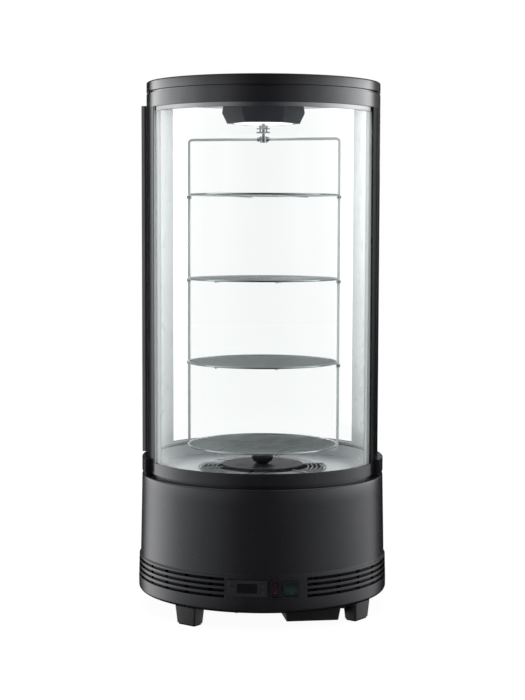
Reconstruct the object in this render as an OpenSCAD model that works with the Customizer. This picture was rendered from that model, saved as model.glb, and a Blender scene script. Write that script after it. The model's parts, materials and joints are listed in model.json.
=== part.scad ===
// Round counter-top cake display: a chilled glass tower on a base housing, with
// a turning rack of four wire shelves and a curved door at the back.
// The origin is the middle of the footprint on the table, +Z is up, and the
// control panel faces -Y. Bearings round the tower are measured from the front
// (-Y), positive towards +X.

/* [Base] */
// Height of the feet, from the table to the underside of the skirt
foot_h = 33; // [25:0.5:45]
// Outer radius of the skirt at the bottom of the housing
skirt_r = 227.5; // [220:0.5:240]
// Height of the plain skirt band under the vents
skirt_h = 23.5; // [15:0.5:30]
// Height of the vent band, from the skirt to its top edge
vent_band_h = 43.5; // [40:0.5:60]
// Height of the plain drum above the vent band, up to the seam
drum_h = 146.5; // [120:0.5:180]
// Radius of the drum just above the vents
drum_low_r = 224; // [218:0.5:236]
// Radius of the drum at the seam
drum_top_r = 221; // [215:0.5:230]
// Wall of the housing
shell_t = 3; // [2:0.5:4]
// Rounding of the skirt's lower edge
skirt_round = 6; // [2:0.5:10]
// Turn of the base pan, its feet and its tray, towards the right
pan_turn = 8; // [-15:1:15]
// Thickness of the base pan
pan_t = 3; // [2:0.5:5]

/* [Vents] */
// Number of louvre slots, one above the other
vent_rows = 4; // [2:1:5]
// Height of one louvre slot
vent_slot_h = 5.2; // [3:0.1:6]
// Distance from one slot to the next
vent_pitch = 9.8; // [8:0.1:11]
// Depth of the slots
vent_depth = 4; // [2:0.1:4]
// Bearing where the right-hand slots start
vent_start = 20; // [18:0.5:30]
// Bearing where the left-hand slots end
vent_end = 343.5; // [335:0.5:344]
// Number of air windows behind the slots
window_count = 26; // [12:1:30]
// Width of one air window
window_w = 8.5; // [5:0.5:12]

/* [Tower] */
// Height of the dark seam between housing and tower ring
seam_gap = 5; // [2:0.5:8]
// Outer radius of the tower
tower_r = 211.5; // [200:0.5:214]
// Height of the ring's lip in front of the glass
lip_h = 21; // [16:1:22]
// Radius of the ring behind the glass tower
rim_r = 221; // [216:0.5:224]
// Height of the rear rim above the ring's underside
rim_h = 24.5; // [20:0.5:30]
// Clear height from the rear rim to the cap
tower_h = 629.5; // [500:0.5:800]
// Thickness of the front glass
glass_t = 5; // [4:0.5:6]
// Wall outside the front glass, at ring, cap and trims
lip_t = 2.7; // [2:0.1:4]
// Thickness of the posts, stiles and rails
post_t = 11.8; // [10:0.1:14]
// Bearing where the front glass leaves its trims
glass_bearing = 66.6; // [60:0.1:70]
// Bearing where the glass trims end
trim_end = 72.4; // [71.5:0.1:73]
// Bearing where the side posts start
post_start = 73.6; // [73.2:0.1:76]
// Bearing of the posts' rear edges
post_end = 97.3; // [90:0.1:100]
// Thickness of the pale side liners
liner_t = 3; // [2:0.5:5]

/* [Cap] */
// Height of the cap's band
band_h = 25; // [24:0.5:35]
// Height of the groove between band and lid
lid_gap = 4; // [1:0.5:6]
// Depth of the groove between band and lid
lid_groove = 4; // [2:0.5:6]
// Height of the lid
lid_h = 18; // [12:0.5:30]
// Rounding of the lid's edge
lid_round = 3; // [1:0.5:8]
// Wall of the lid
lid_t = 3; // [2:0.5:4]
// How far the glass stands up into the band
glass_up = 10; // [6:0.5:11]
// Ceiling panel thickness
ceiling_t = 2; // [1.5:0.5:4]
// Height of the ceiling's underside above the band's lower edge
ceiling_up = 16; // [15:0.5:17]

/* [Door] */
// Bearing of the hinge axis
hinge_bearing = 99.3; // [99:0.1:102]
// Bearing where the hinge stile meets the door glass
stile_end = 121; // [110:0.5:125]
// Height of the door's bottom rail
rail_h = 6.5; // [5:0.5:12]
// Height of the door's top rail, above the level of the ceiling
top_rail_h = 5; // [4.5:0.5:5.5]
// Thickness of the door glass
door_glass_t = 4; // [3:0.5:5]
// Running gap above and below the door
door_gap = 1; // [0.6:0.1:2]
// Radius of the hinge pins
hinge_pin_r = 4; // [3:0.1:4.5]
// How far each hinge pin stands in the stile
hinge_pin_in = 8; // [5:0.5:15]
// How far the lower hinge pin stands in the ring
hinge_pin_out = 5; // [3:0.5:6]
// How far the grip stands out from the door
grip_out = 14; // [9:0.5:15]
// Thickness of the grip's web and lip
grip_t = 2.8; // [2:0.1:3]
// Width of the grip's lip along the door
grip_lip = 16; // [10:0.5:25]

/* [Rack] */
// Height of the bottom shelf above the chamber floor
shelf_low = 43.3; // [42:0.1:60]
// Distance from one shelf to the next
shelf_pitch = 152.1; // [100:0.1:160]
// Radius of a shelf, to the middle of its ring wire
shelf_r = 136; // [110:0.5:150]
// Radius of the shelf's ring wire
ring_wire_r = 1.75; // [1.5:0.05:3]
// Radius of the shelf's parallel wires
wire_r = 1.2; // [1:0.05:1.6]
// Distance between the parallel wires
wire_pitch = 15; // [10:0.5:30]
// Radius of the rack's frame rods
rod_r = 2.4; // [1.5:0.1:3]
// Bend radius of the frame's corners
bend_r = 6; // [4:0.5:6]
// Turn of the rack as it is stored, right end towards the front
rack_turn = -14; // [-80:1:80]
// Height of the frame's top bar under the ceiling
bar_drop = 69; // [65:0.5:75]
// Radius of the motor's shaft
shaft_r = 3.5; // [3:0.1:5]
// Largest radius of the pivot knob
knob_r = 20; // [15:0.5:25]
// Radius of the pivot pin
pivot_r = 4; // [3:0.1:5]

/* [Controls] */
// Width of the thermostat
thermo_w = 69; // [60:0.5:72]
// Height of the thermostat
thermo_h = 28.5; // [25:0.5:32]
// Bearing of the thermostat's middle
thermo_bearing = -6.5; // [-7:0.1:-5]
// Height of the thermostat's middle above the skirt's underside
thermo_up = 44; // [40:0.5:47]
// Width of the display window
display_w = 34; // [25:0.5:36]
// Height of the display window
display_h = 15.5; // [12:0.5:18]
// Side of a square thermostat key
key_w = 7; // [5:0.5:8]
// Height of one thermostat key
key_h = 8; // [6:0.5:10]
// Travel of a thermostat key
key_travel = 0.8; // [0.5:0.1:1.5]
// Width of the lamp switch's frame
lamp_w = 16; // [14:0.5:16]
// Height of the lamp switch's frame
lamp_h = 33; // [28:0.5:36]
// Bearing of the lamp switch
lamp_bearing = 5.7; // [5:0.1:6]
// Side of the power switch's square frame
power_side = 28.5; // [24:0.5:29]
// Bearing of the power switch
power_bearing = 12.7; // [12:0.1:13.5]
// Tilt of a rocker from level, each way
rocker_tilt = 7; // [4:0.5:9]

/* [Clearances] */
// Gap between nested curved faces
seat = 0.3; // [0.2:0.05:0.5]
// Radial running clearance of pins and shafts
run = 0.06; // [0.02:0.01:0.1]
// Gap round the keys and rockers
key_gap = 0.4; // [0.3:0.05:0.8]

/* [Hidden] */
$fn = 96;
eps = 0.01;

// Levels, from the table up.
z_pan = foot_h;
z_vent = z_pan + skirt_h;
z_drum = z_vent + vent_band_h;
z_seam = z_drum + drum_h;
z_ring = z_seam + seam_gap;
z_lip = z_ring + lip_h;
z_rim = z_ring + rim_h;
z_cap = z_rim + tower_h;
z_band = z_cap + band_h;
z_lid = z_band + lid_gap;
z_top = z_lid + lid_h;
z_ceiling = z_cap + ceiling_up;

// The ring's under-flange lies on the tub's flange, inside the housing's ledge.
ledge_t = shell_t;
ledge_w = 10.5;
z_tub_flange = z_seam - ledge_t;
flange_r = drum_top_r - shell_t - ledge_w;
neck_gap = 1;
floor_t = 1;
z_floor = z_ring + floor_t;

// Glass and posts.
glass_r = tower_r - lip_t - seat;
glass_in_r = glass_r - glass_t;
groove_in_r = glass_in_r - seat;
groove_floor = z_ring + 7.5;
post_in_r = tower_r - post_t;
rim_w = 21.8;
inner_r = min(post_in_r, rim_r - rim_w) + seat;
flange_in_r = min(flange_r - 15.5, inner_r - 7.5);
ring_wall = 3;
ring_web_t = 2;
ring_web_r = max(flange_r + 0.5, inner_r + ring_wall);
rim_skirt_r = rim_r - 1.5;
z_glass_low = groove_floor + seat;
z_glass_top = z_cap + glass_up - seat;

// Door.
hinge_r = tower_r - post_t / 2;
z_door_low = z_rim + door_gap;
z_door_top = z_ceiling + top_rail_h;
z_door_cut = z_door_top + door_gap;
z_grip_top = z_door_top - 12.5;
top_pin_out = z_band - z_door_cut - 0.5;
door_glass_r = hinge_r + door_glass_t / 2;
door_glass_in = 1.5;
stile_rebate = 1.2;
z_hinge_boss = z_rim - hinge_pin_out - 4;
hinge_boss_r = hinge_pin_r + 1.4;

// Rack.
z_bar = z_ceiling - bar_drop;
rack_r = shelf_r + ring_wire_r + rod_r + 0.25;
wires = floor((shelf_r - 7) / wire_pitch);
cross_x = 55;
cross_r = 1.5;
cross_drop = 2.3;
z_shelves = [for (i = [0:3]) z_floor + shelf_low + i * shelf_pitch];
z_low_bar = z_shelves[0] - cross_drop - cross_r - 0.2 - rod_r;
collar_r = rod_r + 2;
collar_h = 5;

// Drive.
housing_low = 41;
housing_wide = 22;
lamp_recess = 1.5;
z_housing = z_ceiling - housing_low;
slope_h = housing_low - housing_wide;
motor_r = 25;
motor_h = 22;
diffuser_r = 54;
plug_r = diffuser_r - 2;
z_shaft_low = z_bar + 13;

// Pivot.
plate_r = 74;
z_plate = z_floor + 4.1;
plate_t = 3;
z_knob = z_plate + plate_t + 0.7;
z_knob_top = z_low_bar + rod_r + 1.7;
z_pin_top = z_knob + 16;
// The knob's outline, as shares of its height and of its largest radius.
knob_shape = [[0, 0.5], [0.09, 0.8], [0.24, 0.97], [0.39, 1],
    [0.54, 0.92], [0.69, 0.88], [0.88, 0.72], [1, 0.45]];

// Fan guard.
guard_hole_r = 113;
guard_r = 117;
guard_wire_r = 1.2;
guard_rings = 5;
guard_pitch = 8;

// Base pan, its screws and feet, in the pan's own turned frame.
z_work = z_pan + pan_t;
pan_r = skirt_r - 9.5;
lip_in_r = pan_r - 8;
screw_r = 2;
screw_ring_r = pan_r - 4;
screw_bearings = [-20, -75, 75, 105, 165, 195, 255];
foot_w = 46;
foot_d = 28;
foot_mid_r = skirt_r - 3.5 - foot_d / 2;
foot_bearings = [for (a = [45:90:315]) pan_turn + a];
pad_h = 3;

// Tray under the pan, on folded rails.
tray_x0 = 8;
tray_x1 = 118;
tray_d = 130;
tray_y0 = -(skirt_r - 37.5);
tray_t = 2;
tray_flange = 5;
tray_low = 9;
tray_top = z_pan - 1;
rail_t = 1.5;
rail_gap = 0.5;
rail_hold = 3;
rail_drop = z_pan - tray_top + tray_t + seat + rail_t;

// Machine room.
tub_deep = 73;
z_tub = z_tub_flange - tub_deep;
room_h = z_tub - z_work;
comp_x = -(lip_in_r - 114);
comp_y = 15;
comp_r = 62;
comp_h = room_h - 27;
comp_plate = 125;
comp_bolt = 52;
comp_foot_h = 8;
cond_gap = 13.5;
cond_d = 40;
cond_w = 200;
cond_h = room_h - 20;
cond_x = sqrt(pow(lip_in_r - cond_gap, 2) - pow(cond_w / 2, 2)) - cond_d;
cond_tube_r = 4;
cond_tube_pitch = 25;
fin_t = 1.5;
fin_count = 18;
fan_r = room_h / 2 - 16;
fan_z = z_work + fan_r + 10;
fan_h = 18;
fan_shaft_r = 3;
shroud_x = cond_x - 10;
shroud_w = 124;
shroud_t = 3;
shroud_ring_t = 2;
shroud_ring_len = 20;
motor_x = shroud_x - 56;
motor_leg_y = 30;
motor_leg_t = 4;
motor_body_r = 27.7;
motor_body_len = 34;
motor_shaft_len = 50;

// Chilling tub.
tub_wall = 14;
tub_flange_t = 3;
tub_r = drum_top_r - shell_t - 18;
evap_r = tub_r - tub_wall - 14;
evap_in_r = evap_r - 54;
evap_h = 48;
evap_slots = 30;
evap_slot_w = 6;
evap_foot_r = 46;
evap_motor_r = 30;
evap_motor_h = 26;
evap_shaft_h = 42;
evap_fan_r = evap_in_r - 26;
evap_fan_up = 28;
evap_fan_h = 22;

// First and last air window behind the louvres.
window_first = vent_start + 4;
window_last = vent_end - 7;

// Controls.
z_thermo = z_pan + thermo_up;
z_lamp = z_thermo - 1.5;
z_power = z_thermo - 2.5;
key_places = [[-26, 0], [26, 6], [26, -6]];
window_t = 1.5;
key_out = 0.6;
key_in = 6;
key_dish_r = 21;
switch_plate = 1.8;
switch_step = 1.4;
switch_deep = 24;
switch_rim = 2.6;
rocker_deep = 5;
rocker_pin_r = 1.3;
inlet_bearing = 165;
inlet_w = 27.5;
inlet_h = 20;
z_inlet = z_vent + 21;
cut_in_r = skirt_r - 26;
cut_out_r = skirt_r + 14;

// Small trims.
ceiling_hold_r = inner_r - 9.5;
dish_r = 75;
dish_low_r = 66;
gasket_t = 2.4;
ceiling_r = post_in_r - gasket_t - 1;
gasket_w = 3;
gasket_edge = 1;
seal_start = hinge_bearing + 2;
seal_end = 360 - post_end - 3;
seal_turn = 1;
inner_frame_t = 1.8;

// A ring sector between two bearings, of a profile drawn as radius and height.
module sector(from, to) {
    rotate([0, 0, from - 90]) rotate_extrude(angle = to - from) children();
}

// A plain ring sector, from radius r0 to r1 and height z0 to z1.
module band(from, to, r0, r1, z0, z1) {
    sector(from, to) translate([r0, z0]) square([r1 - r0, z1 - z0]);
}

// A full tube.
module tube(r0, r1, z0, z1) {
    difference() {
        translate([0, 0, z0]) cylinder(r = r1, h = z1 - z0);
        translate([0, 0, z0 - 1]) cylinder(r = r0, h = z1 - z0 + 2);
    }
}

// Places a piece at a bearing, with its outward side along -Y.
module at_bearing(a) {
    rotate([0, 0, a]) children();
}

// A box on the housing's front, w wide, h high, from radius r0 to r1, at a bearing.
module front_box(a, w, h, z, r0, r1) {
    at_bearing(a) translate([-w / 2, -r1, z - h / 2]) cube([w, r1 - r0, h]);
}

// The housing's outline, outside and inside, as radius and height.
function arc_pts(cx, cz, r, a0, a1, n) =
    [for (i = [0:n]) [cx + r * cos(a0 + (a1 - a0) * i / n), cz + r * sin(a0 + (a1 - a0) * i / n)]];

module housing_profile() {
    top_round = 4;
    outside = concat(
        arc_pts(skirt_r - skirt_round, z_pan + skirt_round, skirt_round, -90, 0, 6),
        [[skirt_r, z_vent], [skirt_r - 1, z_drum - 4], [drum_low_r, z_drum]],
        arc_pts(drum_top_r - top_round, z_seam - top_round, top_round, 0, 90, 5)
    );
    inside = [
        [flange_r + neck_gap, z_seam],
        [flange_r + neck_gap, z_seam - ledge_t],
        [drum_top_r - shell_t, z_seam - ledge_t],
        [drum_low_r - shell_t, z_drum],
        [skirt_r - vent_depth - shell_t - 1, z_drum - 4],
        [skirt_r - vent_depth - shell_t - 1, z_work + shell_t],
        [lip_in_r, z_work + shell_t],
        [lip_in_r, z_work],
        [pan_r + 1, z_work],
        [pan_r + 1, z_pan]
    ];
    polygon(concat(outside, inside));
}

// One-piece drum with its skirt, louvre slots and control openings.
module base_housing() {
    color([0.12, 0.12, 0.13])
    difference() {
        rotate_extrude() housing_profile();
        for (i = [0:vent_rows - 1]) {
            z = z_vent + (vent_band_h - 4 - (vent_rows - 1) * vent_pitch) / 2 + i * vent_pitch;
            band(vent_start, vent_end, skirt_r - vent_depth, skirt_r + 5,
                z - vent_slot_h / 2, z + vent_slot_h / 2);
        }
        for (i = [0:window_count - 1]) {
            a = window_first + i * (window_last - window_first) / (window_count - 1);
            reach = (vent_rows - 1) * vent_pitch + vent_slot_h - 1;
            z = z_vent + (vent_band_h - 4) / 2;
            front_box(a, window_w, reach, z, skirt_r - vent_depth - shell_t - 5, skirt_r - vent_depth + 0.2);
        }
        front_box(thermo_bearing, thermo_w + 2 * seat, thermo_h + 2 * seat, z_thermo, cut_in_r, cut_out_r);
        front_box(lamp_bearing, lamp_w - 2, lamp_h - 2, z_lamp, cut_in_r, cut_out_r);
        front_box(power_bearing, power_side - 2, power_side - 2, z_power, cut_in_r, cut_out_r);
        front_box(inlet_bearing, inlet_w, inlet_h, z_inlet, cut_in_r, cut_out_r);
        at_bearing(pan_turn) for (a = screw_bearings) at_bearing(a)
            translate([0, -screw_ring_r, z_pan]) cylinder(r = screw_r + run, h = 12, $fn = 24);
    }
}

// Steel plate under the machine room, with the tray's rails folded below it.
module base_pan() {
    color([0.25, 0.25, 0.26])
    at_bearing(pan_turn) difference() {
        union() {
            translate([0, 0, z_pan]) cylinder(r = pan_r, h = pan_t);
            for (x = [tray_x0 - rail_gap - rail_t, tray_x1 + rail_gap]) {
                translate([x, tray_y0 + 6, z_pan - rail_drop]) cube([rail_t, tray_d - 6, rail_drop + eps]);
            }
            translate([tray_x0 - rail_gap - rail_t, tray_y0 + 6, z_pan - rail_drop])
                cube([rail_t + rail_gap + rail_hold, tray_d - 6, rail_t]);
            translate([tray_x1 - rail_hold, tray_y0 + 6, z_pan - rail_drop])
                cube([rail_t + rail_gap + rail_hold, tray_d - 6, rail_t]);
        }
        for (a = screw_bearings) at_bearing(a)
            translate([0, -screw_ring_r, z_pan - 1]) cylinder(r = screw_r + run, h = pan_t + 2, $fn = 24);
        for (x = [-15:20:45]) translate([x, -45, z_pan - 1]) cube([10, 150, pan_t + 2]);
    }
}

// Screws that hold the pan to the housing's inner lip.
module base_screws() {
    color([0.7, 0.7, 0.72])
    at_bearing(pan_turn) for (a = screw_bearings) at_bearing(a)
        translate([0, -screw_ring_r, z_pan - 2]) {
            cylinder(r = screw_r * 1.9, h = 2, $fn = 24);
            cylinder(r = screw_r, h = 2 + pan_t + shell_t, $fn = 24);
        }
}

// A rounded block whose top and bottom sizes differ, standing on z0.
module tapered_block(top, bottom, z0, z1, r) {
    hull() {
        for (sx = [-1, 1]) for (sy = [-1, 1]) {
            translate([sx * (bottom[0] / 2 - r), sy * (bottom[1] / 2 - r), z0])
                cylinder(r = r, h = eps, $fn = 16);
            translate([sx * (top[0] / 2 - r), sy * (top[1] / 2 - r), z1 - eps])
                cylinder(r = r, h = eps, $fn = 16);
        }
    }
}

// Four tapered feet under the pan.
module feet() {
    color([0.11, 0.11, 0.12])
    for (a = foot_bearings) at_bearing(a) translate([0, -foot_mid_r, 0])
        tapered_block([foot_w, foot_d], [foot_w - 6, foot_d - 4], pad_h, foot_h, 3);
}

// Rubber pads under the feet.
module foot_pads() {
    color([0.06, 0.06, 0.06])
    for (a = foot_bearings) at_bearing(a) translate([0, -foot_mid_r, 0])
        tapered_block([foot_w - 8, foot_d - 6], [foot_w - 10, foot_d - 8], 0, pad_h, 3);
}

// Shallow tray for melt water, on rails under the pan.
module drip_tray() {
    w = tray_x1 - tray_x0;
    color([0.13, 0.13, 0.14])
    at_bearing(pan_turn) difference() {
        union() {
            translate([tray_x0 + w / 2, tray_y0 + tray_d / 2, 0])
                tapered_block([w - 2 * tray_flange, tray_d], [w - 2 * tray_flange - 8, tray_d - 4],
                    tray_low, tray_top, 3);
            translate([tray_x0, tray_y0, tray_top - tray_t]) cube([w, tray_d, tray_t]);
        }
        translate([tray_x0 + w / 2, tray_y0 + tray_d / 2, 0])
            tapered_block([w - 2 * tray_flange - 4, tray_d - 5], [w - 2 * tray_flange - 12, tray_d - 9],
                tray_low + tray_t, tray_top + 1, 2);
    }
}

// Sealed compressor: a domed can on a foot plate.
module compressor() {
    z0 = z_work + comp_foot_h;
    color([0.08, 0.08, 0.09])
    translate([comp_x, comp_y, 0]) difference() {
        union() {
            rotate_extrude() polygon(concat(
                [[0, z0 + 3], [comp_r - 4, z0 + 3]],
                arc_pts(comp_r - 18, z0 + comp_h - 18, 18, 0, 90, 6),
                [[0, z0 + comp_h]]
            ));
            translate([0, 0, z0 + 45]) cylinder(r = comp_r, h = 5);
            translate([-comp_plate / 2, -comp_plate / 2, z0]) cube([comp_plate, comp_plate, 3 + eps]);
        }
        for (sx = [-1, 1]) for (sy = [-1, 1])
            translate([sx * comp_bolt, sy * comp_bolt, z0 - 1]) cylinder(r = 4 + run, h = 5, $fn = 24);
    }
    color([0.2, 0.2, 0.2])
    for (sx = [-1, 1]) for (sy = [-1, 1])
        translate([comp_x + sx * comp_bolt, comp_y + sy * comp_bolt, z_work]) {
            cylinder(r = 9, h = comp_foot_h, $fn = 32);
            cylinder(r = 4, h = comp_foot_h + 5, $fn = 24);
        }
}

// Finned condenser block with its tube passes.
module condenser() {
    color([0.72, 0.72, 0.74]) {
        for (i = [0:fin_count - 1])
            translate([cond_x, -cond_w / 2 + i * (cond_w - fin_t) / (fin_count - 1), z_work])
                cube([cond_d, fin_t, cond_h]);
        for (row = [0:3]) for (col = [1, 3])
            translate([cond_x + col * cond_d / 4, -cond_w / 2 - 6, z_work + 16 + row * cond_tube_pitch])
                rotate([-90, 0, 0]) cylinder(r = cond_tube_r, h = cond_w + 12, $fn = 32);
    }
}

// Plate with a ring that guides air from the condenser into the fan.
module fan_shroud() {
    color([0.15, 0.15, 0.16])
    difference() {
        union() {
            translate([shroud_x, -shroud_w / 2, z_work]) cube([shroud_t, shroud_w, room_h - 10]);
            translate([shroud_x - shroud_ring_len, 0, fan_z]) rotate([0, 90, 0])
                cylinder(r = fan_r + 2 + shroud_ring_t, h = shroud_ring_len + shroud_t - 1);
        }
        translate([shroud_x - shroud_ring_len - 10, 0, fan_z]) rotate([0, 90, 0])
            cylinder(r = fan_r + 2, h = shroud_ring_len + 40);
    }
    color([0.15, 0.15, 0.16])
    for (sy = [-1, 1]) translate([motor_x, sy * motor_leg_y - motor_leg_t / 2, z_work])
        cube([6, motor_leg_t, fan_z - z_work + 8]);
}

// Small fan motor on two legs, with its shaft.
module condenser_fan_motor() {
    color([0.5, 0.5, 0.52])
    translate([motor_x, 0, fan_z]) rotate([0, 90, 0]) {
        cylinder(r = motor_body_r, h = motor_body_len);
        cylinder(r = fan_shaft_r, h = motor_shaft_len, $fn = 32);
    }
}

// Blades on a hub, turning about the Z axis of its own frame.
module fan_rotor(hub_r, tip_r, h, blades, bore_r, depth) {
    difference() {
        union() {
            cylinder(r = hub_r, h = h, $fn = 48);
            for (i = [0:blades - 1]) rotate([0, 0, i * 360 / blades])
                translate([(hub_r - 3), 0, h / 2]) rotate([28, 0, 0])
                    translate([0, -tip_r * 0.24, -0.8]) cube([tip_r - hub_r, tip_r * 0.48, 1.6]);
        }
        translate([0, 0, -1]) cylinder(r = bore_r, h = depth + 1, $fn = 32);
    }
}

module condenser_fan() {
    color([0.1, 0.1, 0.11])
    translate([motor_x + motor_body_len + 3, 0, fan_z]) rotate([0, 90, 0])
        fan_rotor(15, fan_r, fan_h, 5, fan_shaft_r + run, motor_shaft_len - motor_body_len - 2);
}

// Foam-filled tub that holds the chilling coil below the chamber floor.
module insulation_tub() {
    color([0.82, 0.82, 0.8])
    difference() {
        union() {
            translate([0, 0, z_tub]) cylinder(r = tub_r, h = z_tub_flange - z_tub);
            translate([0, 0, z_tub_flange - tub_flange_t])
                cylinder(r = drum_top_r - shell_t - 1, h = tub_flange_t);
        }
        translate([0, 0, z_tub + tub_wall]) cylinder(r = tub_r - tub_wall, h = z_tub_flange);
    }
}

// Finned ring coil round the chamber's fan.
module evaporator() {
    z0 = z_tub + tub_wall;
    color([0.74, 0.74, 0.76])
    difference() {
        tube(evap_in_r, evap_r, z0, z0 + evap_h);
        for (i = [0:evap_slots - 1]) rotate([0, 0, i * 360 / evap_slots])
            translate([evap_in_r + 8, -evap_slot_w / 2, z0 + 4]) cube([evap_r, evap_slot_w, evap_h]);
    }
}

module evaporator_fan_motor() {
    z0 = z_tub + tub_wall;
    color([0.5, 0.5, 0.52])
    translate([0, 0, z0]) {
        cylinder(r = evap_foot_r, h = 3);
        cylinder(r = evap_motor_r, h = evap_motor_h);
        cylinder(r = fan_shaft_r, h = evap_shaft_h, $fn = 32);
    }
}

module evaporator_fan() {
    color([0.1, 0.1, 0.11])
    translate([0, 0, z_tub + tub_wall + evap_fan_up])
        fan_rotor(18, evap_fan_r, evap_fan_h, 5, fan_shaft_r + run, evap_shaft_h - evap_fan_up + 2);
}

// Ring that carries the glass in front and the door's threshold behind.
module base_ring() {
    color([0.14, 0.14, 0.15])
    difference() {
        union() {
            rotate_extrude() polygon([
                [flange_in_r, z_tub_flange], [flange_r, z_tub_flange], [flange_r, z_ring - ring_web_t],
                [ring_web_r, z_ring - ring_web_t], [ring_web_r, z_ring], [flange_in_r, z_ring]
            ]);
            sector(-glass_bearing + 0.3, glass_bearing - 0.3) polygon([
                [inner_r, z_ring - eps], [tower_r, z_ring - eps], [tower_r, z_lip], [tower_r - lip_t, z_lip],
                [tower_r - lip_t, groove_floor], [groove_in_r, groove_floor], [groove_in_r, z_lip - 6],
                [inner_r, z_lip - 6]
            ]);
            sector(post_start - 0.4, 360 - post_start + 0.4) polygon([
                [inner_r, z_ring - eps], [inner_r + ring_wall, z_ring - eps],
                [inner_r + ring_wall, z_rim - ring_wall], [rim_skirt_r - ring_wall, z_rim - ring_wall],
                [rim_skirt_r - ring_wall, z_seam], [rim_skirt_r, z_seam], [rim_skirt_r, z_ring],
                [rim_r, z_ring], [rim_r, z_rim - 1], [rim_r - 1, z_rim], [inner_r, z_rim]
            ]);
            for (s = [0, 1]) mirror([s, 0, 0]) band(post_start - 0.2, post_start + 0.8,
                inner_r + 1, rim_skirt_r - 1, z_seam + 0.5, z_rim - 1);
            at_hinge(z_hinge_boss) cylinder(r = hinge_boss_r, h = hinge_pin_out + 3, $fn = 48);
        }
        at_hinge(z_rim - hinge_pin_out)
            cylinder(r = hinge_pin_r + run, h = hinge_pin_out + 5, $fn = 48);
    }
}

// Places a piece on the door's hinge axis, at a height.
module at_hinge(z) {
    at_bearing(hinge_bearing) translate([0, -hinge_r, z]) children();
}

// Bright steel floor of the chamber, open in the middle for the air.
module floor_plate() {
    color([0.8, 0.8, 0.82])
    tube(guard_hole_r, inner_r - seat - 0.2, z_ring, z_floor);
}

// Wire rings on spokes over the floor's air opening.
module fan_guard() {
    z = z_floor + guard_wire_r + 0.1;
    color([0.82, 0.82, 0.84]) {
        for (i = [0:guard_rings - 1])
            translate([0, 0, z]) rotate_extrude() translate([guard_r - i * guard_pitch, 0])
                circle(r = guard_wire_r, $fn = 24);
        for (a = [0:60:300]) rotate([0, 0, a + 15])
            translate([plate_r - 18, 0, z + guard_wire_r]) rotate([0, 90, 0])
                cylinder(r = guard_wire_r + 0.3, h = guard_r - plate_r + 18, $fn = 24);
    }
}

// Dark disc over the fan, with the pin that the rack turns on.
module pivot_plate() {
    color([0.1, 0.1, 0.11]) {
        translate([0, 0, z_plate]) cylinder(r = plate_r, h = plate_t);
        translate([0, 0, z_plate]) cylinder(r = pivot_r, h = z_pin_top - z_plate - 1, $fn = 48);
    }
}

// Thermostat case with its window and key openings.
module thermostat_bezel() {
    front = skirt_r + 0.8;
    color([0.1, 0.1, 0.11])
    difference() {
        union() {
            front_box(thermo_bearing, thermo_w, thermo_h, z_thermo, front - 8, front);
            front_box(thermo_bearing, thermo_w - 4, thermo_h - 3, z_thermo, front - 50, front - 7);
        }
        front_box(thermo_bearing, display_w + 2 * key_gap, display_h + 2 * key_gap, z_thermo,
            front - window_t, front + 1);
        at_bearing(thermo_bearing) for (k = key_places)
            translate([k[0] - key_w / 2 - key_gap, -front - 1, z_thermo + k[1] - key_h / 2 - key_gap])
                cube([key_w + 2 * key_gap, 1 + key_in + key_travel + seat, key_h + 2 * key_gap]);
    }
}

// Smoked window of the thermostat's display.
module thermostat_window() {
    front = skirt_r + 0.8;
    color([0.05, 0.05, 0.06])
    front_box(thermo_bearing, display_w, display_h, z_thermo, front - window_t, front + 0.1);
}

// One thermostat key, with a shallow dish in its face.
module thermo_key(k) {
    front = skirt_r + 0.8;
    color([0.16, 0.16, 0.17])
    at_bearing(thermo_bearing) translate([k[0], -front, z_thermo + k[1]]) difference() {
        translate([-key_w / 2, -key_out, -key_h / 2]) cube([key_w, key_out + key_in, key_h]);
        translate([0, -key_out - key_dish_r + 0.4, 0]) sphere(r = key_dish_r, $fn = 48);
    }
}
module set_key() { thermo_key(key_places[0]); }
module up_key() { thermo_key(key_places[1]); }
module down_key() { thermo_key(key_places[2]); }

// Frame and case of a rocker switch, with the bores for the rocker's pins.
module switch_body(a, z, frame) {
    back = skirt_r + 0.15;
    hole = [frame[0] - 2 * switch_rim, frame[1] - 2 * switch_rim];
    color([0.09, 0.09, 0.1])
    at_bearing(a) difference() {
        union() {
            translate([-frame[0] / 2, -back - switch_plate, z - frame[1] / 2])
                cube([frame[0], switch_plate, frame[1]]);
            translate([-frame[0] / 2 + switch_step, -back, z - frame[1] / 2 + switch_step])
                cube([frame[0] - 2 * switch_step, switch_deep, frame[1] - 2 * switch_step]);
        }
        translate([-hole[0] / 2, -back - 3, z - hole[1] / 2]) cube([hole[0], 17, hole[1]]);
        translate([-frame[0], -back + rocker_deep, z]) rotate([0, 90, 0])
            cylinder(r = rocker_pin_r + run, h = 2 * frame[0], $fn = 32);
    }
}

// Rocker whose two faces meet in a shallow V, on its pins.
module rocker(a, z, frame, tone) {
    back = skirt_r + 0.15;
    hole = [frame[0] - 2 * switch_rim, frame[1] - 2 * switch_rim];
    w = hole[0] - 2 * key_gap;
    h = hole[1] - 2 * key_gap - 1.6;
    color(tone)
    at_bearing(a) translate([0, -back + rocker_deep, z]) rotate([-rocker_tilt, 0, 0]) {
        rotate([90, 0, 90]) translate([0, 0, -w / 2]) linear_extrude(height = w) polygon([
            [-rocker_deep - 3.4, h / 2], [-rocker_deep - 0.8, 0], [-rocker_deep - 3.4, -h / 2],
            [0, -h / 2 + 1.5], [3.5, -h / 4], [3.5, h / 4], [0, h / 2 - 1.5]
        ]);
        translate([-w / 2 - key_gap - 1, 0, 0]) rotate([0, 90, 0])
            cylinder(r = rocker_pin_r, h = w + 2 * key_gap + 2, $fn = 32);
    }
}
module lamp_switch_body() { switch_body(lamp_bearing, z_lamp, [lamp_w, lamp_h]); }
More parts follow.
